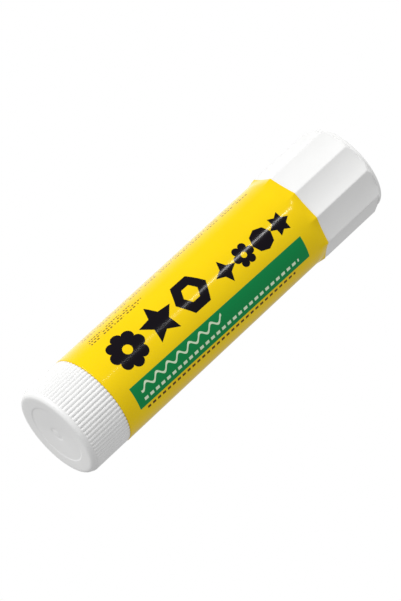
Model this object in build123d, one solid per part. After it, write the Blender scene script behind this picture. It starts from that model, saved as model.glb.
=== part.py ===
from build123d import *
import math
import os

# A twist-up glue stick, standing on its knob. Millimetres, +Z from the knob to the cap,
# origin at the centre of the knob's underside. The front, -Y, is the side with the green band.

# Overall sizes
sleeve_radius = 12.5
shoulder_height = 79.4

# Clearances between pieces
running_clearance = 0.08
slide_clearance = 0.35
seat_clearance = 0.05
axial_play = 0.1
thread_clearance = 0.2
guide_side_clearance = 0.3
film_gap = 0.07
overrun = 5.0

# Film
film_thickness = 0.17
flare_length = 4.1
hem_lap = 2.7

# Barrel
barrel_wall = 2.28
barrel_floor = 1.6
floor_drop = 1.35
skirt_gap = 3.9
skirt_wall = 1.0
guide_count = 4
guide_height = 0.6
guide_width = 1.4
guide_end_gap = 1.0
shoulder_chamfer = 0.3
neck_length = 7.0
neck_wall = 0.75
bead_rise = 0.17
bead_height = 1.0
bead_above_shoulder = 3.0

# Twist knob
knob_height = 12.35
knob_to_barrel_gap = 0.15
knob_step = 0.1
knob_rib_count = 72
knob_rib_depth = 0.3
knob_rib_start = 1.15
knob_rib_run_in = 0.35
knob_edge_radius = 1.1
knob_wall = 0.85
knob_floor = 1.5
recess_rim = 0.62
recess_depth = 0.25
gate_well_radius = 1.5
gate_well_depth = 0.2
gate_radius = 0.55
hub_wall = 1.5

# Screw spindle
stem_flat_radius = 2.8
stem_end_gap = 0.4
flange_overhang = 1.0
flange_thickness = 1.2
journal_step = 0.2
collar_step = 0.55
collar_height = 0.9
collar_top_step = 0.15
spindle_core_radius = 2.3
spindle_tip = 1.0
spindle_cover = 7.9
thread_depth = 0.9
thread_lead = 4.0

# Cap
cap_gap = 0.2
cap_length = 22.8
cap_wall = 0.8
cap_top_thickness = 1.5
cap_top_band = 1.3
cap_top_step = 0.2
cap_top_edge = 1.2
flute_count = 10
flute_depth = 1.1
flute_run_out = 0.8
ridge_turn = 1.1
ridge_tip_angle = 0.9
ridge_tip_drop = 0.1
glue_room = 0.5

# Carrier and glue
carrier_gap = 2.5
carrier_floor = 1.2
carrier_wall = 0.8
carrier_wall_height = 4.8
nut_wall = 1.5
nut_height = 6.6
glue_recess = 2.5
glue_edge = 0.5

# Radii that follow, from the sleeve inwards and then out to the cap
barrel_radius = sleeve_radius - film_thickness
bore_radius = barrel_radius - barrel_wall
slider_radius = bore_radius - slide_clearance
neck_radius = bore_radius + neck_wall
bead_radius = neck_radius + bead_rise
cap_bore_radius = bead_radius + running_clearance
cap_inner_radius = slider_radius + glue_room
cap_hollow_radius = cap_bore_radius + cap_wall
cap_ridge_radius = cap_hollow_radius + flute_depth
cap_top_radius = cap_ridge_radius - cap_top_step
knob_crest_radius = sleeve_radius - knob_step
knob_valley_radius = knob_crest_radius - knob_rib_depth
knob_bore_radius = knob_valley_radius - knob_wall
skirt_radius = knob_bore_radius - slide_clearance
recess_radius = knob_valley_radius - knob_edge_radius - recess_rim
hub_radius = (stem_flat_radius + seat_clearance) / math.cos(math.radians(30)) + hub_wall
flange_radius = hub_radius + flange_overhang
spindle_crest_radius = spindle_core_radius + thread_depth
thread_disc_radius = spindle_core_radius + thread_depth / 2
journal_radius = spindle_crest_radius + journal_step
collar_radius = journal_radius + collar_step
nut_radius = spindle_crest_radius + thread_clearance + nut_wall
notch_depth = guide_height + slide_clearance
notch_width = guide_width + 2 * guide_side_clearance

# Heights that follow, from the knob upwards
barrel_bottom = knob_height + knob_to_barrel_gap
skirt_bottom = knob_floor + skirt_gap
floor_bottom = barrel_bottom - floor_drop
floor_top = floor_bottom + barrel_floor
flange_top = floor_bottom - axial_play
hub_top = flange_top - flange_thickness
collar_bottom = floor_top + axial_play
collar_top = collar_bottom + collar_height
carrier_bottom = floor_top + carrier_gap
glue_bottom = carrier_bottom + carrier_floor
carrier_wall_top = glue_bottom + carrier_wall_height
nut_top = carrier_bottom + nut_height
flare_bottom = shoulder_height - shoulder_chamfer
flare_top = flare_bottom + flare_length
film_split = shoulder_height + cap_gap / 2
cap_bottom = shoulder_height + cap_gap
total_height = cap_bottom + cap_length
hem_top = cap_bottom + hem_lap
neck_top = shoulder_height + neck_length
glue_top = neck_top - glue_recess
spindle_top = glue_top - spindle_cover
flute_run_out_top = total_height - cap_top_band
flute_end = flute_run_out_top - flute_run_out

on_base = (Align.CENTER, Align.CENTER, Align.MIN)


def rod(radius, bottom, top):
    """A round solid about the axis, from one height to another."""
    return Pos(0, 0, bottom) * Cylinder(radius, top - bottom, align=on_base)


def hexagon_bar(flat_radius, bottom, top):
    """A six-sided bar about the axis, sized across its flats."""
    section = RegularPolygon(flat_radius, side_count=6, major_radius=False)
    return Pos(0, 0, bottom) * extrude(section, top - bottom)


def turned(points):
    """A solid of revolution about the axis, from a closed outline of (radius, height) points."""
    outline = [(radius, 0, height) for radius, height in points]
    return revolve(make_face(Polyline(*outline, close=True)), Axis.Z)


def polar(radius, degrees, height):
    angle = math.radians(degrees)
    return (radius * math.cos(angle), radius * math.sin(angle), height)


def ribbed_face(height):
    """The knob's section: outward arcs that meet in sharp valleys."""
    step = 360 / knob_rib_count
    arcs = []
    for index in range(knob_rib_count):
        start = polar(knob_valley_radius, index * step, height)
        crest = polar(knob_crest_radius, (index + 0.5) * step, height)
        end = polar(knob_valley_radius, (index + 1) * step, height)
        arcs.append(ThreePointArc(start, crest, end))
    return make_face(arcs)


def fluted_face(ridge_radius, hollow_radius, tip_drop, height):
    """The cap's section: concave arcs between narrow ridges. With equal radii it is a circle."""
    step = 360 / flute_count
    shoulder_radius = ridge_radius - tip_drop
    arcs = []
    for index in range(flute_count):
        ridge = ridge_turn + index * step
        tip_start = polar(shoulder_radius, ridge - ridge_tip_angle, height)
        tip = polar(ridge_radius, ridge, height)
        tip_end = polar(shoulder_radius, ridge + ridge_tip_angle, height)
        hollow = polar(hollow_radius, ridge + step / 2, height)
        next_tip = polar(shoulder_radius, ridge + step - ridge_tip_angle, height)
        arcs.append(ThreePointArc(tip_start, tip, tip_end))
        arcs.append(ThreePointArc(tip_end, hollow, next_tip))
    return make_face(arcs)


def flutes(grow, height):
    """The cap's section, grown outwards by a film's thickness or gap."""
    return fluted_face(cap_ridge_radius + grow, cap_hollow_radius + grow, ridge_tip_drop, height)


def circle_in_arcs(radius, height):
    """A circle cut into as many arcs as the cap's section has, so that the two blend cleanly."""
    return fluted_face(radius, radius, 0, height)


def guides(height_in, width, bottom, top):
    """The bars that stand in from the bore and stop the carrier from turning."""
    radial = height_in + overrun
    bar = Box(radial, width, top - bottom, align=(Align.MIN, Align.CENTER, Align.MIN))
    bar = Pos(bore_radius - height_in, 0, bottom) * bar
    step = 360 / guide_count
    return [Rot(0, 0, index * step) * bar for index in range(guide_count)]


def threaded_rod(disc_radius, bottom, top):
    """A round left-hand thread: a flat disc that climbs a narrow helix about the axis."""
    path = Pos(0, 0, bottom) * Helix(thread_lead, top - bottom, thread_depth / 2, lefthand=True)
    disc = Pos(path @ 0) * Circle(disc_radius)
    return sweep(disc, path=path, normal=(0, 0, 1))


def make_knob():
    body = rod(knob_valley_radius, 0, knob_height)
    body = fillet(body.edges().sort_by(Axis.Z)[0], knob_edge_radius)
    ribs = extrude(ribbed_face(knob_rib_start), knob_height - knob_rib_start)
    run_in_top = knob_rib_start + knob_rib_run_in
    ribs &= turned([
        (0, knob_rib_start),
        (knob_valley_radius, knob_rib_start),
        (knob_crest_radius + seat_clearance, run_in_top),
        (knob_crest_radius + seat_clearance, knob_height + overrun),
        (0, knob_height + overrun),
    ])
    body += ribs
    body -= rod(knob_bore_radius, knob_floor, knob_height + overrun)
    body -= rod(recess_radius, -overrun, recess_depth)
    body += rod(hub_radius, knob_floor, hub_top)
    body -= hexagon_bar(stem_flat_radius + seat_clearance, knob_floor, hub_top + overrun)
    gate_top = recess_depth + gate_well_depth
    body -= rod(gate_well_radius, -overrun, gate_top)
    body += rod(gate_radius, recess_depth, gate_top)
    return body


def make_spindle():
    body = hexagon_bar(stem_flat_radius, knob_floor + stem_end_gap, hub_top)
    body += rod(flange_radius, hub_top, flange_top)
    body += rod(journal_radius, flange_top, collar_bottom)
    collar = Cone(collar_radius, spindle_crest_radius + collar_top_step, collar_height, align=on_base)
    body += Pos(0, 0, collar_bottom) * collar
    body += threaded_rod(thread_disc_radius, collar_top, spindle_top - spindle_tip)
    body += rod(spindle_core_radius - thread_depth / 2, spindle_top - spindle_tip, spindle_top)
    return body


def make_barrel():
    body = turned([
        (0, skirt_bottom),
        (skirt_radius, skirt_bottom),
        (skirt_radius, barrel_bottom),
        (barrel_radius, barrel_bottom),
        (barrel_radius, flare_bottom),
        (barrel_radius - shoulder_chamfer, shoulder_height),
        (neck_radius, shoulder_height),
        (neck_radius, neck_top),
        (0, neck_top),
    ])
    body += neck_bead()
    body -= rod(bore_radius, floor_top, neck_top + overrun)
    body -= rod(skirt_radius - skirt_wall, 0, floor_bottom)
    body -= rod(journal_radius + running_clearance, 0, neck_top)
    well = rod(bore_radius + seat_clearance, floor_top, neck_top - guide_end_gap)
    for bar in guides(guide_height, guide_width, floor_top, neck_top - guide_end_gap):
        body += bar & well
    return body


def neck_bead():
    """The low ring round the neck that the cap's bore grips."""
    middle = shoulder_height + bead_above_shoulder
    return turned([
        (bore_radius, middle - bead_height),
        (neck_radius, middle - bead_height),
        (bead_radius, middle - bead_height / 2),
        (bead_radius, middle + bead_height / 2),
        (neck_radius, middle + bead_height),
        (bore_radius, middle + bead_height),
    ])


def slab(bottom, top):
    """Everything between two heights."""
    span = 4 * sleeve_radius
    return Pos(0, 0, bottom) * Box(span, span, top - bottom, align=on_base)


def flare(grow):
    """The stretch over which the film and the cap's rim turn from round to fluted."""
    round_end = circle_in_arcs(barrel_radius + grow, flare_bottom)
    return loft([round_end, flutes(grow, flare_top)], ruled=True)


def make_film():
    shell = rod(barrel_radius + film_thickness, barrel_bottom, flare_bottom) + flare(film_thickness)
    return shell - rod(barrel_radius + film_gap, barrel_bottom - overrun, flare_bottom) - flare(film_gap)


def make_cap():
    body = flare(0) & slab(cap_bottom, flare_top)
    body += extrude(flutes(0, flare_top), flute_end - flare_top)
    round_end = circle_in_arcs(cap_top_radius, flute_run_out_top)
    body += loft([flutes(0, flute_end), round_end], ruled=True)
    top = rod(cap_top_radius, flute_run_out_top, total_height)
    body += fillet(top.edges().sort_by(Axis.Z)[-1], cap_top_edge)
    body -= rod(cap_bore_radius, cap_bottom - overrun, neck_top)
    body -= rod(cap_inner_radius, neck_top, total_height - cap_top_thickness)
    return body


def make_carrier():
    body = rod(slider_radius, carrier_bottom, carrier_wall_top)
    body -= rod(slider_radius - carrier_wall, glue_bottom, carrier_wall_top + overrun)
    body += rod(nut_radius, carrier_bottom, nut_top)
    for notch in guides(notch_depth, notch_width, carrier_bottom, carrier_wall_top):
        body -= notch
    body -= threaded_rod(thread_disc_radius + thread_clearance, collar_top - thread_lead, nut_top + overrun)
    return body


def make_glue():
    body = rod(slider_radius, carrier_wall_top, glue_top)
    body = fillet(body.edges().sort_by(Axis.Z)[-1], glue_edge)
    body += rod(slider_radius - carrier_wall - seat_clearance, glue_bottom, carrier_wall_top)
    for notch in guides(notch_depth, notch_width, glue_bottom, glue_top):
        body -= notch
    body -= rod(nut_radius + seat_clearance, glue_bottom, nut_top + seat_clearance)
    body -= rod(spindle_crest_radius + slide_clearance, glue_bottom, spindle_top + slide_clearance)
    return body


def split_film(film):
    """The film parts at the cap's lower edge: its sleeve stays on the barrel, its hem on the cap."""
    return film & slab(0, film_split), film & slab(film_split, hem_top)


def main():
    os.makedirs("parts", exist_ok=True)
    label_sleeve, seal_band = split_film(make_film())
    parts = {
        "twist_knob": make_knob(),
        "screw_spindle": make_spindle(),
        "barrel_tube": make_barrel(),
        "label_sleeve": label_sleeve,
        "seal_band": seal_band,
        "cap_shell": make_cap(),
        "glue_carrier": make_carrier(),
        "glue_body": make_glue(),
    }
    for name, solid in parts.items():
        export_step(solid, f"parts/{name}.step")


main()
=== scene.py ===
import math

import bmesh
import bpy
from mathutils import Matrix, Vector


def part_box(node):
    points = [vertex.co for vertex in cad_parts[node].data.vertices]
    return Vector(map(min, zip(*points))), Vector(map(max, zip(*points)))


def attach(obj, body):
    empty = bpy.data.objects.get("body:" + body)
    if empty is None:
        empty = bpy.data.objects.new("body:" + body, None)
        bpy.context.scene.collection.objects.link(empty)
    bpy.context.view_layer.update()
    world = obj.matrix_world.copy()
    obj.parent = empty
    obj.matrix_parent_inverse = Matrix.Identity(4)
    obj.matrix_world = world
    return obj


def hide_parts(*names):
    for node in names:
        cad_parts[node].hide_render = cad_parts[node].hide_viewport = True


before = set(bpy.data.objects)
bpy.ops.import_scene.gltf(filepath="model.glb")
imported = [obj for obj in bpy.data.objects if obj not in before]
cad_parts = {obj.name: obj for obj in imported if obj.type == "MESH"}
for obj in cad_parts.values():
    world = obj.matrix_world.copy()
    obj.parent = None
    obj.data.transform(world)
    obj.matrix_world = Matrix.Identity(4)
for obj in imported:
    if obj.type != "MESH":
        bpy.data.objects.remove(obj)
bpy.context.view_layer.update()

MM = 0.001
NEAR = 0.004 * MM

# Camera, as fitted to the photograph
IMAGE_WIDTH = 401
IMAGE_HEIGHT = 601
SENSOR = 36.0
FOCAL_PIXELS = 3573.3
BASE_CENTRE_PIXEL = (56.12, 434.93)
BASE_DEPTH = 840.0 * MM
AXIS_IN_IMAGE = 0.7464
AXIS_TILT = 0.3943

# Heights along the stick, in metres, read from the frame's solids
HEIGHT = 2
KNOB_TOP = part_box("twist_knob")[1][HEIGHT]
FILM_FOOT, FILM_SPLIT = (corner[HEIGHT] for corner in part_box("label_sleeve"))
CAP_LOW, CAP_HIGH = (corner[HEIGHT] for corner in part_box("cap_shell"))
GLUE_LOW, GLUE_HIGH = (corner[HEIGHT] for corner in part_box("glue_body"))
SPINDLE_LOW, SPINDLE_HIGH = (corner[HEIGHT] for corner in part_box("screw_spindle"))
NUT_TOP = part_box("glue_carrier")[1][HEIGHT]
BARREL_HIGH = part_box("barrel_tube")[1]
BARREL_RADIUS, NECK_TOP = BARREL_HIGH[0], BARREL_HIGH[HEIGHT]

# Film: its growth is the distance from the barrel's outside to its own
SLEEVE_RADIUS = 12.5 * MM
FILM_WALL = 0.1 * MM
FILM_GROWTH = 0.17 * MM
FLARE_BOTTOM = FILM_SPLIT - 0.4 * MM
FLARE_LENGTH = 4.1 * MM
HEM_EDGE = FILM_SPLIT + 2.6 * MM

# Cap: a ring of vertices has one column to a degree
FLUTES = 10
RIDGE_TURN = math.radians(1.1)
RIDGE_RADIUS = 12.95 * MM
HOLLOW_RADIUS = 11.85 * MM
CAP_COLUMNS = 360

# Twist knob
RIBS = 72
RIB_CREST = 12.4 * MM
RIB_VALLEY = 12.1 * MM
KNOB_COLUMNS = 8 * RIBS

# Colours, as the shader takes them
WHITE_PLASTIC = ((0.87, 0.87, 0.86), (0.85, 0.85, 0.84))
INNER_PLASTIC = ((0.84, 0.84, 0.82), (0.81, 0.81, 0.79))
YELLOW_FILM = ((0.94, 0.665, 0.004), (0.91, 0.625, 0.004))
GREEN_BAND = (0.004, 0.255, 0.066)
PALE_PRINT = (0.72, 0.86, 0.62)
BROWN_PRINT = (0.10, 0.045, 0.006)
FAINT_PRINT = (0.26, 0.165, 0.008)
BLACK_PRINT = (0.006, 0.004, 0.007)
WAXY_GLUE = ((0.86, 0.85, 0.80), (0.80, 0.78, 0.72))
WORLD_GREY = (0.535, 0.535, 0.54)
FLOOR_GREY = (0.9, 0.9, 0.9)
FLOOR_LIFT = 0.22

# Rows of small print on the film, in millimetres:
# where the row ends, its place around, half its height, the pitch of its dashes and of its words
SMALL_PRINT_START = 18.5
SMALL_PRINT_ROWS = (
    (36.5, -12.3, 0.24, 0.97, 4.6),
    (33.5, -13.2, 0.24, 0.83, 5.9),
    (35.0, -11.4, 0.24, 1.1, 3.9),
    (76.0, -15.6, 0.24, 1.03, 5.3),
    (74.0, -16.7, 0.24, 0.87, 4.4),
    (70.0, -17.8, 0.24, 0.96, 6.1),
    (74.0, 20.5, 0.3, 1.12, 6.8),
    (71.0, 21.9, 0.3, 0.97, 5.2),
    (74.0, 23.3, 0.3, 1.05, 7.6),
    (52.0, 24.7, 0.3, 1.2, 6.1),
    (73.0, 27.4, 0.3, 0.99, 5.7),
    (66.0, 28.8, 0.3, 1.09, 7.1),
)


def select_only(piece):
    bpy.ops.object.select_all(action="DESELECT")
    piece.select_set(True)
    bpy.context.view_layer.objects.active = piece


def start_ring(name, columns, radius, height, turn=0.0):
    """One open ring of vertices, left in edit mode and selected, from which a turned piece is drawn."""
    bpy.ops.object.select_all(action="DESELECT")
    bpy.ops.mesh.primitive_circle_add(
        vertices=columns, radius=radius, fill_type="NOTHING", location=(0, 0, height), rotation=(0, 0, turn)
    )
    piece = bpy.context.object
    piece.name = name
    piece.data.name = name
    bpy.ops.object.transform_apply(location=True, rotation=True, scale=True)
    bpy.ops.object.mode_set(mode="EDIT")
    bpy.ops.mesh.select_mode(type="VERT")
    return piece


def pick(piece, wanted):
    """Selects the vertices whose places pass the test, and the edges between them."""
    mesh = bmesh.from_edit_mesh(piece.data)
    for vertex in mesh.verts:
        vertex.select = wanted(vertex.co)
    mesh.select_flush_mode()
    bmesh.update_edit_mesh(piece.data)


def pick_ring(piece, height, inner=0.0, outer=1.0):
    """Selects the vertices at one height and between two radii."""
    def in_ring(place):
        return abs(place.z - height) < NEAR and inner <= math.hypot(place.x, place.y) <= outer
    pick(piece, in_ring)


def draw_on(outline):
    """Extrudes the selected ring along an outline of (radius, height) points, the first of them its own."""
    for (radius, height), (next_radius, next_height) in zip(outline, outline[1:]):
        bpy.ops.mesh.extrude_region_move(TRANSFORM_OT_translate={"value": (0, 0, next_height - height)})
        share = next_radius / radius
        bpy.ops.transform.resize(value=(share, share, 1), center_override=(0, 0, 0))


def rise(distance):
    bpy.ops.mesh.extrude_region_move(TRANSFORM_OT_translate={"value": (0, 0, distance)})


def close_ring():
    """Fills the selected ring with one flat face."""
    bpy.ops.mesh.edge_face_add()


def select_of_ring(piece, ring, wanted):
    """Selects the wanted vertices of a ring, by number, and returns the mesh."""
    mesh = bmesh.from_edit_mesh(piece.data)
    mesh.verts.ensure_lookup_table()
    for index in ring:
        mesh.verts[index].select = False
    for index in wanted:
        mesh.verts[index].select = True
    mesh.select_flush_mode()
    bmesh.update_edit_mesh(piece.data)
    return mesh


def shape_ring(piece, repeats, turn, radius_at):
    """Moves the selected ring's columns in or out, all the columns at one angle from a crest at a time."""
    mesh = bmesh.from_edit_mesh(piece.data)
    mesh.verts.index_update()
    pitch = 2 * math.pi / repeats
    columns = {}
    for vertex in mesh.verts:
        if vertex.select:
            past = (math.atan2(vertex.co.y, vertex.co.x) - turn) % pitch
            away = min(past, pitch - past)
            columns.setdefault(round(away, 4), []).append(vertex.index)
    ring = [index for column in columns.values() for index in column]
    for away, column in columns.items():
        mesh = select_of_ring(piece, ring, column)
        share = radius_at(away) / mesh.verts[column[0]].co.xy.length
        bpy.ops.transform.resize(value=(share, share, 1), center_override=(0, 0, 0))
    select_of_ring(piece, ring, ring)


def face_outwards():
    bpy.ops.mesh.select_all(action="SELECT")
    bpy.ops.mesh.normals_make_consistent(inside=False)
    bpy.ops.object.mode_set(mode="OBJECT")


def finish_piece(piece, body, material, crease, node):
    """Gives the piece its shading, material and body, in place of the frame's own node."""
    select_only(piece)
    bpy.ops.object.shade_smooth_by_angle(angle=math.radians(crease))
    piece.data.materials.append(material)
    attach(piece, body)
    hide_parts(node)


def arc(centre_radius, centre_height, radius, first, last, steps):
    """Points of a rounded edge in the outline, by the angle of its normal from the radial direction."""
    points = []
    for step in range(steps + 1):
        angle = math.radians(first + (last - first) * step / steps)
        points.append((centre_radius + radius * math.cos(angle), centre_height + radius * math.sin(angle)))
    return points


# Twist knob

def rib_radius(away, strength=1.0):
    """Outward arcs that meet in narrow valleys."""
    half = math.pi / RIBS
    return RIB_VALLEY + (RIB_CREST - RIB_VALLEY) * strength * (1 - (away / half) ** 2)


def make_knob(material):
    """A ribbed cup: its flat end with the gate's nub in a well, its ribbed side, its inside and its hub."""
    top = KNOB_TOP
    edge = 1.1 * MM
    face_radius = RIB_VALLEY - edge
    step_radius = 8.0 * MM
    well_radius = 1.85 * MM
    nub_radius = 0.95 * MM
    nub_flat = nub_radius - 0.25 * MM
    floor = 0.25 * MM
    well_floor = floor + 0.12 * MM
    nub_height = floor + 0.06 * MM
    piece = start_ring("knob_cup", KNOB_COLUMNS, nub_flat, nub_height, RIDGE_TURN)
    draw_on([
        (nub_flat, nub_height),
        (nub_radius - 0.1 * MM, nub_height + 0.01 * MM),
        (nub_radius, nub_height + 0.03 * MM),
        (nub_radius + 0.1 * MM, well_floor),
        (well_radius - 0.3 * MM, well_floor),
        (well_radius - 0.1 * MM, floor + 0.09 * MM),
        (well_radius + 0.05 * MM, floor + 0.02 * MM),
        (well_radius + 0.2 * MM, floor),
        (step_radius - 0.3 * MM, floor),
        (step_radius - 0.12 * MM, floor - 0.02 * MM),
        (step_radius, floor - 0.07 * MM),
        (step_radius + 0.12 * MM, floor - 0.13 * MM),
        (step_radius + 0.3 * MM, floor - 0.15 * MM),
        (face_radius - 1.0 * MM, 0.05 * MM),
        (face_radius - 0.5 * MM, 0.01 * MM),
    ] + arc(face_radius, edge, edge, -90, 0, 8))
    plain_edge = 0.05 * MM
    support = 0.3 * MM
    chamfer = 0.06 * MM
    rise(plain_edge)
    height = edge + plain_edge
    for distance, strength in ((0.1 * MM, 0.35), (0.12 * MM, 0.75), (0.15 * MM, 1.0)):
        rise(distance)
        height += distance
        shape_ring(piece, RIBS, RIDGE_TURN, lambda away: rib_radius(away, strength))
    rise(support)
    rise(top - chamfer - support - support - height)
    rise(support)
    rise(chamfer)
    shape_ring(piece, RIBS, RIDGE_TURN, lambda away: rib_radius(away) - 0.05 * MM)
    bore = RIB_VALLEY - 0.85 * MM
    rise(0)
    shape_ring(piece, RIBS, RIDGE_TURN, lambda away: bore + 0.15 * MM)
    cup_floor = 1.5 * MM
    hub = 4.79 * MM
    hub_top = SPINDLE_LOW + 7.95 * MM
    draw_on([
        (bore + 0.15 * MM, top),
        (bore, top - 0.15 * MM),
        (bore, cup_floor + 0.5 * MM),
        (bore - 0.15 * MM, cup_floor + 0.15 * MM),
        (bore - 0.5 * MM, cup_floor),
        (hub + 0.3 * MM, cup_floor),
        (hub, cup_floor + 0.3 * MM),
        (hub, hub_top - 0.1 * MM),
        (hub - 0.1 * MM, hub_top),
        (hub - 1.0 * MM, hub_top),
    ])
    socket = 2.85 * MM
    rise(0)
    shape_ring(piece, 6, 0, lambda away: socket / math.cos(math.pi / 6 - away) + 0.02 * MM)
    rise(cup_floor - hub_top)
    close_ring()
    pick_ring(piece, nub_height, nub_flat - 0.1 * MM, nub_flat + 0.1 * MM)
    close_ring()
    face_outwards()
    finish_piece(piece, "knob", material, 38, "twist_knob")


# Cap and film

def flute_radius(away, grow):
    """The near side of a round cutter, at an angle from the ridge; the ridge itself is blunted."""
    ridge = RIDGE_RADIUS + grow
    hollow = HOLLOW_RADIUS + grow
    half = math.pi / FLUTES
    reach = (ridge ** 2 - hollow ** 2) / (2 * (ridge * math.cos(half) - hollow))
    cutter = reach - hollow
    turned = half - away
    radius = reach * math.cos(turned) - math.sqrt(cutter ** 2 - (reach * math.sin(turned)) ** 2)
    blunt = 0.05 * MM if away < math.radians(0.5) else 0
    return radius - blunt


def flare_radius(away, height, grow):
    """Round at the flare's foot and fluted at its top, with an easy curve between them."""
    share = min(max((height - FLARE_BOTTOM) / FLARE_LENGTH, 0), 1)
    share = 0.5 * share + 0.5 * share * share * (3 - 2 * share)
    round_radius = BARREL_RADIUS + grow
    return round_radius + share * (flute_radius(away, grow) - round_radius)


def end_radius(away, below_top):
    """The cap's far end: the flutes run up to a narrow round rim, and the ridges are cut back to meet it."""
    rim = RIDGE_RADIUS - 0.85 * MM
    rim_height = 0.9 * MM
    cut_length = 1.1 * MM
    if below_top >= rim_height:
        cut = RIDGE_RADIUS - 0.75 * MM * (1 - min((below_top - rim_height) / cut_length, 1))
        return min(flute_radius(away, 0), cut)
    rounding = 0.35 * MM
    past = min(max(rounding - below_top, 0), rounding)
    return rim - rounding + math.sqrt(rounding ** 2 - past ** 2)


def make_cap(material):
    """A fluted cup: its flared rim, its flutes, the far end with its recess, then its inside."""
    low, high = CAP_LOW, CAP_HIGH
    piece = start_ring("cap_cup", CAP_COLUMNS, SLEEVE_RADIUS, low, RIDGE_TURN)
    shape_ring(piece, FLUTES, RIDGE_TURN, lambda away: flare_radius(away, low, 0))
    height = low
    for share in (0.2, 0.35, 0.5, 0.65, 0.8, 0.92, 1.0):
        rise(FLARE_BOTTOM + FLARE_LENGTH * share - height)
        height = FLARE_BOTTOM + FLARE_LENGTH * share
        shape_ring(piece, FLUTES, RIDGE_TURN, lambda away: flare_radius(away, height, 0))
    support = 0.4 * MM
    rise(support)
    height += support
    for below_top in (
        2.4, 1.95, 1.8, 1.65, 1.5, 1.35, 1.2, 1.05, 0.92,
        0.82, 0.7, 0.35, 0.3, 0.22, 0.14, 0.08, 0.03, 0.0,
    ):
        rise(high - below_top * MM - height)
        height = high - below_top * MM
        shape_ring(piece, FLUTES, RIDGE_TURN, lambda away: end_radius(away, high - height))
    rim = RIDGE_RADIUS - 1.2 * MM
    recess = high - 0.25 * MM
    draw_on([
        (rim, high),
        (rim - 1.5 * MM, high),
        (rim - 1.6 * MM, high - 0.03 * MM),
        (rim - 1.72 * MM, recess + 0.03 * MM),
        (rim - 1.82 * MM, recess),
        (1.6 * MM, recess),
        (1.5 * MM, recess - 0.04 * MM),
        (1.42 * MM, recess - 0.16 * MM),
        (0.62 * MM, recess - 0.2 * MM),
        (0.55 * MM, recess - 0.03 * MM),
        (0.45 * MM, recess),
    ])
    close_ring()
    pick_ring(piece, low)
    rise(0)
    bore = 11.05 * MM
    inside = 10.2 * MM
    ceiling = high - 1.5 * MM
    shape_ring(piece, FLUTES, RIDGE_TURN, lambda away: bore + 0.3 * MM)
    draw_on([
        (bore + 0.3 * MM, low),
        (bore, low + 0.3 * MM),
        (bore, NECK_TOP + 0.02 * MM),
        (inside + 0.1 * MM, NECK_TOP + 0.1 * MM),
        (inside, NECK_TOP + 0.3 * MM),
        (inside, ceiling - 0.6 * MM),
        (inside - 0.2 * MM, ceiling - 0.17 * MM),
        (inside - 0.6 * MM, ceiling),
        (1.0 * MM, ceiling),
    ])
    close_ring()
    face_outwards()
    finish_piece(piece, "cap", material, 48, "cap_shell")


def give_wall(piece, thickness):
    """Thickens an open sheet inwards."""
    select_only(piece)
    wall = piece.modifiers.new("wall", "SOLIDIFY")
    wall.thickness = thickness
    wall.offset = -1
    wall.use_even_offset = True
    bpy.ops.object.modifier_apply(modifier=wall.name)


def lift_seam(piece, lift):
    """Raises the strip at the back where the film laps over itself, sharp on one side, faded on the other."""
    for column, share in enumerate((0.1, 0.2, 0.35, 0.5, 0.65, 0.8, 0.9, 1.0, 1.0, 1.0, 1.0)):
        angle = math.radians(86 + column) + RIDGE_TURN
        pick(piece, lambda place: abs(math.atan2(place.y, place.x) - angle) < 0.008)
        grown = 1 + share * lift / SLEEVE_RADIUS
        bpy.ops.transform.resize(value=(grown, grown, 1), center_override=(0, 0, 0))


def finish_film(piece, body, material, node):
    lift_seam(piece, 0.08 * MM)
    face_outwards()
    give_wall(piece, FILM_WALL)
    finish_piece(piece, body, material, 48, node)


def make_film_sleeve(material):
    """The film round the barrel, from its foot, which curls in, to where it was cut at the cap."""
    low = FILM_FOOT - FILM_WALL
    foot = [
        (SLEEVE_RADIUS - 0.4 * MM, low),
        (SLEEVE_RADIUS - 0.16 * MM, low),
        (SLEEVE_RADIUS - 0.08 * MM, low + 0.02 * MM),
        (SLEEVE_RADIUS - 0.02 * MM, low + 0.08 * MM),
        (SLEEVE_RADIUS, low + 0.17 * MM),
        (SLEEVE_RADIUS, low + 0.5 * MM),
        (SLEEVE_RADIUS, FLARE_BOTTOM - 0.5 * MM),
        (SLEEVE_RADIUS, FLARE_BOTTOM),
    ]
    piece = start_ring("film_sleeve", CAP_COLUMNS, foot[0][0], low, RIDGE_TURN)
    draw_on(foot)
    height = FLARE_BOTTOM
    for next_height in (FLARE_BOTTOM + 0.2 * MM, FILM_SPLIT):
        rise(next_height - height)
        height = next_height
        shape_ring(piece, FLUTES, RIDGE_TURN, lambda away: flare_radius(away, height, FILM_GROWTH))
    finish_film(piece, "barrel", material, "label_sleeve")


def make_film_hem(material):
    """The film's last millimetres, which lap over the cap's rim."""
    low = FILM_SPLIT
    piece = start_ring("film_hem", CAP_COLUMNS, SLEEVE_RADIUS, low, RIDGE_TURN)
    shape_ring(piece, FLUTES, RIDGE_TURN, lambda away: flare_radius(away, low, FILM_GROWTH))
    height = low
    for share in (0.15, 0.3, 0.45, 0.6, 0.75, 0.9, 1.0):
        next_height = low + (HEM_EDGE - low) * share
        rise(next_height - height)
        height = next_height
        shape_ring(piece, FLUTES, RIDGE_TURN, lambda away: flare_radius(away, height, FILM_GROWTH))
    finish_film(piece, "cap", material, "seal_band")


# Glue

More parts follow.
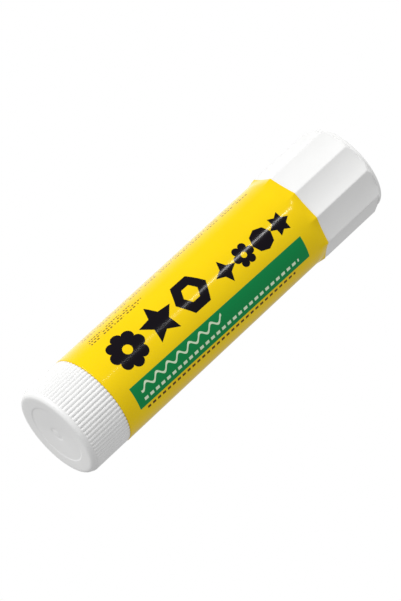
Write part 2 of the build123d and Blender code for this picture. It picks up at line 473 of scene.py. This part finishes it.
def make_glue(material):
    """The glue, with room for the spindle and the carrier, four guide grooves and a rounded end."""
    radius = 9.7 * MM
    notch_radius = 8.75 * MM
    core_radius = 3.55 * MM
    nut_radius = 4.95 * MM
    cup_radius = 8.85 * MM
    end_radius_inside = 8.5 * MM
    low, high = GLUE_LOW, GLUE_HIGH
    cup_top = low + 4.8 * MM
    core_top = SPINDLE_HIGH + 0.35 * MM
    nut_top = NUT_TOP + 0.05 * MM
    notch_half = math.radians(6)
    piece = start_ring("glue_stick", 240, core_radius, core_top)
    draw_on([
        (core_radius, core_top),
        (core_radius, nut_top),
        (nut_radius, nut_top),
        (nut_radius, low),
        (cup_radius, low),
        (cup_radius, cup_top),
        (radius, cup_top),
    ])
    height = cup_top
    for next_height, ring_radius in (
        (cup_top, radius), (high - 0.75 * MM, radius), (high - 0.45 * MM, 9.63 * MM),
        (high - 0.22 * MM, 9.45 * MM), (high - 0.08 * MM, 9.2 * MM), (high, 8.85 * MM),
    ):
        if next_height > height:
            rise(next_height - height)
            height = next_height
        groove = min(ring_radius, notch_radius)
        shape_ring(piece, 4, 0, lambda away: groove if away < notch_half else ring_radius)
    rise(-0.02 * MM)
    shape_ring(piece, 4, 0, lambda away: end_radius_inside)
    draw_on([
        (end_radius_inside, high - 0.02 * MM),
        (7.5 * MM, high - 0.09 * MM),
        (5.5 * MM, high - 0.16 * MM),
        (2.5 * MM, high - 0.2 * MM),
    ])
    close_ring()
    pick_ring(piece, core_top, core_radius - 0.15 * MM, core_radius + 0.15 * MM)
    close_ring()
    face_outwards()
    finish_piece(piece, "carrier", material, 40, "glue_body")


# Materials

def new_material(name):
    material = bpy.data.materials.new(name)
    material.use_nodes = True
    return material, material.node_tree, material.node_tree.nodes["Principled BSDF"]


def value(tree, operation, *inputs):
    """A maths node on sockets or numbers."""
    node = tree.nodes.new("ShaderNodeMath")
    node.operation = operation
    for place, given in enumerate(inputs):
        if isinstance(given, (int, float)):
            node.inputs[place].default_value = given
        else:
            tree.links.new(given, node.inputs[place])
    return node.outputs[0]


def in_millimetres(tree):
    """The surface's own place, in millimetres."""
    place = tree.nodes.new("ShaderNodeTexCoord")
    mapping = tree.nodes.new("ShaderNodeMapping")
    mapping.inputs["Scale"].default_value = (1000, 1000, 1000)
    tree.links.new(place.outputs["Object"], mapping.inputs["Vector"])
    return mapping.outputs["Vector"]


def noise(tree, place, scale, detail):
    node = tree.nodes.new("ShaderNodeTexNoise")
    node.inputs["Scale"].default_value = scale
    node.inputs["Detail"].default_value = detail
    tree.links.new(place, node.inputs["Vector"])
    return node.outputs["Fac"]


def blend_colour(tree, share, first, second):
    """A colour mix of colours or sockets; the numbers are the places of the mix node's colour sockets."""
    factor, colour_a, colour_b, colour_out = 0, 6, 7, 2
    node = tree.nodes.new("ShaderNodeMix")
    node.data_type = "RGBA"
    tree.links.new(share, node.inputs[factor])
    for place, given in ((colour_a, first), (colour_b, second)):
        if isinstance(given, tuple):
            node.inputs[place].default_value = (*given, 1)
        else:
            tree.links.new(given, node.inputs[place])
    return node.outputs[colour_out]


def remap(tree, source, from_low, from_high, low=0.0, high=1.0):
    """Maps one range to another, and clamps to it."""
    node = tree.nodes.new("ShaderNodeMapRange")
    node.inputs["From Min"].default_value = from_low
    node.inputs["From Max"].default_value = from_high
    node.inputs["To Min"].default_value = low
    node.inputs["To Max"].default_value = high
    tree.links.new(source, node.inputs["Value"])
    return node.outputs[0]


def spread(tree, source, low, high):
    """Maps a noise's usual range to a range of its own."""
    return remap(tree, source, 0.3, 0.7, low, high)


def add_bump(tree, shader, height, strength, distance):
    node = tree.nodes.new("ShaderNodeBump")
    node.inputs["Strength"].default_value = strength
    node.inputs["Distance"].default_value = distance
    tree.links.new(height, node.inputs["Height"])
    tree.links.new(node.outputs["Normal"], shader.inputs["Normal"])


def moulded_plastic(name, colours, smooth, rough):
    """White moulded plastic: a faint cloudiness, and a very fine grain in its gloss."""
    material, tree, shader = new_material(name)
    place = in_millimetres(tree)
    cloud = spread(tree, noise(tree, place, 0.12, 3), 0, 1)
    tree.links.new(blend_colour(tree, cloud, *colours), shader.inputs["Base Color"])
    grain = noise(tree, place, 2.5, 2)
    tree.links.new(spread(tree, grain, smooth, rough), shader.inputs["Roughness"])
    shader.inputs["Specular IOR Level"].default_value = 0.3
    add_bump(tree, shader, noise(tree, place, 3.0, 3), 0.15, 0.02 * MM)
    return material


def soft_mask(tree, distance):
    """1 where the distance is below zero, with an edge 0.06 mm wide."""
    return remap(tree, distance, 0.03, -0.03)


def off_strip(tree, place, middle, half_width):
    """How far a place is outside a strip; below zero inside it."""
    off_middle = value(tree, "ABSOLUTE", value(tree, "SUBTRACT", place, middle))
    return value(tree, "SUBTRACT", off_middle, half_width)


def box_distance(tree, along, around, along_mid, around_mid, half_length, half_width):
    across = off_strip(tree, around, around_mid, half_width)
    down = off_strip(tree, along, along_mid, half_length)
    return value(tree, "MAXIMUM", across, down)


def shape_group():
    """A punched-paper shape (a star, a polygon or a petalled flower), as a distance from its edge."""
    group = bpy.data.node_groups.new("punched_shape", "ShaderNodeTree")
    names = ("Along", "Around", "Points", "Tip", "Valley", "Turn", "Round")
    for name in names:
        group.interface.new_socket(name, in_out="INPUT", socket_type="NodeSocketFloat")
    group.interface.new_socket("Distance", in_out="OUTPUT", socket_type="NodeSocketFloat")
    given = group.nodes.new("NodeGroupInput").outputs
    along, around, points, tip, valley, turn, rounded = (given[name] for name in names)
    along_squared = value(group, "MULTIPLY", along, along)
    around_squared = value(group, "MULTIPLY", around, around)
    radius = value(group, "SQRT", value(group, "ADD", along_squared, around_squared))
    angle = value(group, "ADD", value(group, "ARCTAN2", around, along), turn)
    half = value(group, "DIVIDE", math.pi, points)
    pitch = value(group, "MULTIPLY", half, 2.0)
    above_zero = value(group, "ADD", angle, value(group, "MULTIPLY", pitch, 20.0))
    past = value(group, "MODULO", above_zero, pitch)
    away = value(group, "MINIMUM", past, value(group, "SUBTRACT", pitch, past))
    upper = value(group, "MULTIPLY", value(group, "MULTIPLY", tip, valley), value(group, "SINE", half))
    from_valley = value(group, "MULTIPLY", valley, value(group, "SINE", value(group, "SUBTRACT", half, away)))
    from_tip = value(group, "MULTIPLY", tip, value(group, "SINE", away))
    straight = value(group, "DIVIDE", upper, value(group, "ADD", from_valley, from_tip))
    quarter = value(group, "MULTIPLY", value(group, "DIVIDE", away, half), math.pi / 2)
    petal = value(group, "POWER", value(group, "ABSOLUTE", value(group, "COSINE", quarter)), 0.6)
    rise_to_tip = value(group, "SUBTRACT", tip, valley)
    curved = value(group, "ADD", valley, value(group, "MULTIPLY", petal, rise_to_tip))
    bulge = value(group, "MULTIPLY", rounded, value(group, "SUBTRACT", curved, straight))
    end = group.nodes.new("NodeGroupOutput")
    edge = value(group, "ADD", straight, bulge)
    group.links.new(value(group, "SUBTRACT", radius, edge), end.inputs["Distance"])
    return group


def punched(tree, group, along, around, along_mid, around_mid, points, tip, valley, turn=0.0, rounded=0.0):
    """One punched-paper shape: its middle, how many points it has, the radii of its tips and valleys."""
    node = tree.nodes.new("ShaderNodeGroup")
    node.node_tree = group
    tree.links.new(value(tree, "SUBTRACT", along, along_mid), node.inputs["Along"])
    tree.links.new(value(tree, "SUBTRACT", around, around_mid), node.inputs["Around"])
    for name, number in (
        ("Points", points), ("Tip", tip), ("Valley", valley), ("Turn", turn), ("Round", rounded),
    ):
        node.inputs[name].default_value = number
    return node.outputs["Distance"]


def dashes(tree, along, around, start, end, around_mid, half_width, pitch, share):
    """A row of dashes along the stick."""
    phase = value(tree, "MODULO", value(tree, "SUBTRACT", along, start - 20 * pitch), pitch)
    inside = off_strip(tree, phase, pitch / 2, pitch * share / 2)
    row = box_distance(tree, along, around, (start + end) / 2, around_mid, (end - start) / 2, half_width)
    return value(tree, "MAXIMUM", inside, row)


def small_print(tree, along, around, end, around_mid, half_width, pitch, word):
    """A row of dashes in groups, as the words of small print lie."""
    row = (tree, along, around, SMALL_PRINT_START, end, around_mid, half_width)
    return value(tree, "MAXIMUM", dashes(*row, pitch, 0.62), dashes(*row, word, 0.8))


def union(tree, *distances):
    result = distances[0]
    for distance in distances[1:]:
        result = value(tree, "MINIMUM", result, distance)
    return result


def printed_film():
    """Glossy yellow film with a green band, a row of black punched-paper shapes, and small dashes."""
    material, tree, shader = new_material("printed_film")
    place = in_millimetres(tree)
    split = tree.nodes.new("ShaderNodeSeparateXYZ")
    tree.links.new(place, split.inputs[0])
    x, y, along = split.outputs
    angle = value(tree, "ARCTAN2", x, value(tree, "MULTIPLY", y, -1.0))
    skew = value(tree, "MULTIPLY", value(tree, "SUBTRACT", along, 16.7), 0.017)
    around = value(tree, "SUBTRACT", value(tree, "MULTIPLY", angle, SLEEVE_RADIUS / MM), skew)

    band_mid, band_half_width = 7.09, 3.27
    band = box_distance(tree, along, around, 46.25, band_mid, 29.55, band_half_width)

    at = (tree, shape_group(), along, around)
    large_row, small_row = -3.5, -1.9
    flower, star, ring, small_star, small_flower, disc, burst = 23.2, 33.9, 44.6, 55.0, 61.3, 67.5, 73.6
    black = union(
        tree,
        punched(*at, flower, large_row, 8, 5.2, 4.0, rounded=1.0),
        punched(*at, star, large_row, 5, 5.4, 2.6, turn=0.3),
        punched(*at, ring, large_row, 6, 5.1, 4.42),
        punched(*at, small_star, small_row, 4, 3.3, 1.5),
        punched(*at, small_flower, small_row, 6, 3.1, 2.0, rounded=1.0),
        punched(*at, disc, small_row, 8, 3.1, 2.86),
        punched(*at, burst, small_row, 6, 3.1, 1.8),
    )
    holes = union(
        tree,
        punched(*at, flower, large_row, 12, 1.3, 1.27),
        punched(*at, ring, large_row, 6, 2.3, 2.0),
        punched(*at, small_flower, small_row, 12, 0.8, 0.78),
    )
    black = value(tree, "MAXIMUM", black, value(tree, "MULTIPLY", holes, -1.0))

    wave_mid = band_mid - 1.25
    sway = value(tree, "MULTIPLY", value(tree, "SINE", value(tree, "MULTIPLY", along, 1.7)), 0.75)
    off_wave = value(tree, "SUBTRACT", value(tree, "SUBTRACT", around, wave_mid), sway)
    wave = value(tree, "SUBTRACT", value(tree, "ABSOLUTE", off_wave), 0.33)
    wave = value(tree, "MAXIMUM", wave, box_distance(tree, along, around, 33.0, wave_mid, 14.0, 2.2))
    pale_dashes = dashes(tree, along, around, 18.5, 72.5, band_mid + 1.55, 0.42, 1.9, 0.62)
    pale = union(tree, wave, pale_dashes)
    brown = dashes(tree, along, around, 18.5, 70.5, band_mid + 4.3, 0.38, 1.7, 0.6)
    faint = union(tree, *(small_print(tree, along, around, *row) for row in SMALL_PRINT_ROWS))

    tone = spread(tree, noise(tree, place, 0.08, 2), 0, 1)
    colour = blend_colour(tree, tone, *YELLOW_FILM)
    for distance, ink in (
        (band, GREEN_BAND), (pale, PALE_PRINT), (brown, BROWN_PRINT),
        (faint, FAINT_PRINT), (black, BLACK_PRINT),
    ):
        colour = blend_colour(tree, soft_mask(tree, distance), colour, ink)
    tree.links.new(colour, shader.inputs["Base Color"])
    tree.links.new(spread(tree, noise(tree, place, 0.5, 3), 0.12, 0.15), shader.inputs["Roughness"])
    shader.inputs["Specular IOR Level"].default_value = 0.25
    add_bump(tree, shader, noise(tree, place, 0.25, 2), 0.2, 0.03 * MM)
    return material


def glue_material():
    """Waxy off-white glue, a little translucent, with a soft unevenness."""
    material, tree, shader = new_material("glue")
    place = in_millimetres(tree)
    cloud = spread(tree, noise(tree, place, 0.35, 4), 0, 1)
    tree.links.new(blend_colour(tree, cloud, *WAXY_GLUE), shader.inputs["Base Color"])
    tree.links.new(spread(tree, noise(tree, place, 1.2, 3), 0.28, 0.42), shader.inputs["Roughness"])
    shader.inputs["Subsurface Weight"].default_value = 0.15
    shader.inputs["Subsurface Radius"].default_value = (1.0, 0.9, 0.7)
    shader.inputs["Subsurface Scale"].default_value = 2 * MM
    add_bump(tree, shader, noise(tree, place, 0.9, 4), 0.3, 0.1 * MM)
    return material


# Camera, light and floor

def make_camera():
    """The photograph looks up along the stick from below its base, with the stick slanting across it."""
    slant, tilt = AXIS_IN_IMAGE, AXIS_TILT
    right = Vector((math.sin(slant), -math.sin(tilt) * math.cos(slant), math.cos(tilt) * math.cos(slant)))
    up = Vector((-math.cos(slant), -math.sin(tilt) * math.sin(slant), math.cos(tilt) * math.sin(slant)))
    forward = Vector((0, math.cos(tilt), math.sin(tilt)))
    across = (BASE_CENTRE_PIXEL[0] - IMAGE_WIDTH / 2) / FOCAL_PIXELS * BASE_DEPTH
    down = (BASE_CENTRE_PIXEL[1] - IMAGE_HEIGHT / 2) / FOCAL_PIXELS * BASE_DEPTH
    place = -(right * across - up * down + forward * BASE_DEPTH)
    data = bpy.data.cameras.new("camera")
    data.sensor_width = SENSOR
    data.lens = FOCAL_PIXELS * SENSOR / IMAGE_HEIGHT
    camera = bpy.data.objects.new("camera", data)
    bpy.context.scene.collection.objects.link(camera)
    turn = Matrix((right, up, -forward)).transposed()
    camera.matrix_world = Matrix.Translation(place) @ turn.to_4x4()
    bpy.context.scene.camera = camera


def area_lamp(name, place, target, width, height, power):
    """A rectangular lamp aimed at a point, unseen by the camera itself."""
    data = bpy.data.lights.new(name, "AREA")
    data.shape = "RECTANGLE"
    data.size = width
    data.size_y = height
    data.energy = power
    lamp = bpy.data.objects.new(name, data)
    bpy.context.scene.collection.objects.link(lamp)
    place = Vector(place)
    turn = (Vector(target) - place).to_track_quat("-Z", "Y").to_matrix().to_4x4()
    lamp.matrix_world = Matrix.Translation(place) @ turn
    lamp.visible_camera = False


def make_world():
    """White behind the object, and grey light all round it. In its gloss, a backdrop that is bright at the
    back left and dim at the right and in front."""
    world = bpy.data.worlds.new("studio")
    bpy.context.scene.world = world
    world.use_nodes = True
    tree = world.node_tree
    around = tree.nodes["Background"]
    around.inputs["Color"].default_value = (*WORLD_GREY, 1)
    behind = tree.nodes.new("ShaderNodeBackground")
    behind.inputs["Color"].default_value = (1, 1, 1, 1)
    path = tree.nodes.new("ShaderNodeLightPath")
    direction = tree.nodes.new("ShaderNodeTexCoord")
    split = tree.nodes.new("ShaderNodeSeparateXYZ")
    tree.links.new(direction.outputs["Generated"], split.inputs[0])
    to_left = remap(tree, split.outputs["X"], 0.4, -0.4)
    to_back = remap(tree, split.outputs["Y"], 0.1, 0.7)
    at_back = value(tree, "ADD", to_left, 0.15)
    backdrop = value(tree, "ADD", value(tree, "MULTIPLY", to_back, at_back), 0.2)
    seen = value(tree, "MAXIMUM", path.outputs["Is Camera Ray"], backdrop)
    tree.links.new(seen, behind.inputs["Strength"])
    shining = value(tree, "MAXIMUM", path.outputs["Is Glossy Ray"], path.outputs["Is Transmission Ray"])
    mix = tree.nodes.new("ShaderNodeMixShader")
    tree.links.new(value(tree, "MAXIMUM", path.outputs["Is Camera Ray"], shining), mix.inputs["Fac"])
    tree.links.new(around.outputs[0], mix.inputs[1])
    tree.links.new(behind.outputs[0], mix.inputs[2])
    tree.links.new(mix.outputs[0], tree.nodes["World Output"].inputs["Surface"])


def make_floor():
    """A pale floor that is seen only from above, because the photograph looks up from under the base."""
    side = 4.0
    below_stick = 0.3 * MM
    bpy.ops.object.select_all(action="DESELECT")
    bpy.ops.mesh.primitive_plane_add(size=side, location=(0, 0, -below_stick))
    floor = bpy.context.object
    floor.name = "floor"
    bpy.ops.object.transform_apply(location=True)
    material = bpy.data.materials.new("floor")
    material.use_nodes = True
    tree = material.node_tree
    tree.nodes.remove(tree.nodes["Principled BSDF"])
    pale = tree.nodes.new("ShaderNodeBsdfDiffuse")
    pale.inputs["Color"].default_value = (*FLOOR_GREY, 1)
    lift = tree.nodes.new("ShaderNodeEmission")
    lift.inputs["Strength"].default_value = FLOOR_LIFT
    lifted = tree.nodes.new("ShaderNodeAddShader")
    tree.links.new(pale.outputs[0], lifted.inputs[0])
    tree.links.new(lift.outputs[0], lifted.inputs[1])
    clear = tree.nodes.new("ShaderNodeBsdfTransparent")
    path = tree.nodes.new("ShaderNodeLightPath")
    face = tree.nodes.new("ShaderNodeNewGeometry")
    mix = tree.nodes.new("ShaderNodeMixShader")
    front = value(tree, "SUBTRACT", 1.0, face.outputs["Backfacing"])
    above = value(tree, "MULTIPLY", path.outputs["Is Camera Ray"], front)
    tree.links.new(above, mix.inputs["Fac"])
    tree.links.new(clear.outputs[0], mix.inputs[1])
    tree.links.new(lifted.outputs[0], mix.inputs[2])
    tree.links.new(mix.outputs[0], tree.nodes["Material Output"].inputs["Surface"])
    floor.data.materials.append(material)


make_camera()
make_world()
# The broad light from the lower left, two small lamps for the film's thin highlights, and a light from above
area_lamp("key", (-0.83, -0.55, -0.24), (0, 0, 0.05), 0.7, 0.7, 7.6)
area_lamp("line", (-0.28, -0.96, 0.498), (0, 0, 0.065), 0.055, 0.055, 0.36)
area_lamp("tick", (-0.28, -0.96, 0.384), (0, 0, 0.014), 0.055, 0.008, 0.03)
area_lamp("top", (0.1, -0.1, 1.2), (0, 0, 0), 1.2, 1.2, 4.5)
make_floor()

white = moulded_plastic("white_plastic", WHITE_PLASTIC, 0.3, 0.42)
inner = moulded_plastic("inner_plastic", INNER_PLASTIC, 0.4, 0.55)
film = printed_film()
glue = glue_material()
for name in ("barrel_tube", "screw_spindle", "glue_carrier"):
    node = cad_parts[name]
    node.data.materials.clear()
    node.data.materials.append(inner)

make_knob(white)
make_cap(white)
make_film_sleeve(film)
make_film_hem(film)
make_glue(glue)

bpy.context.scene.view_settings.view_transform = "Standard"
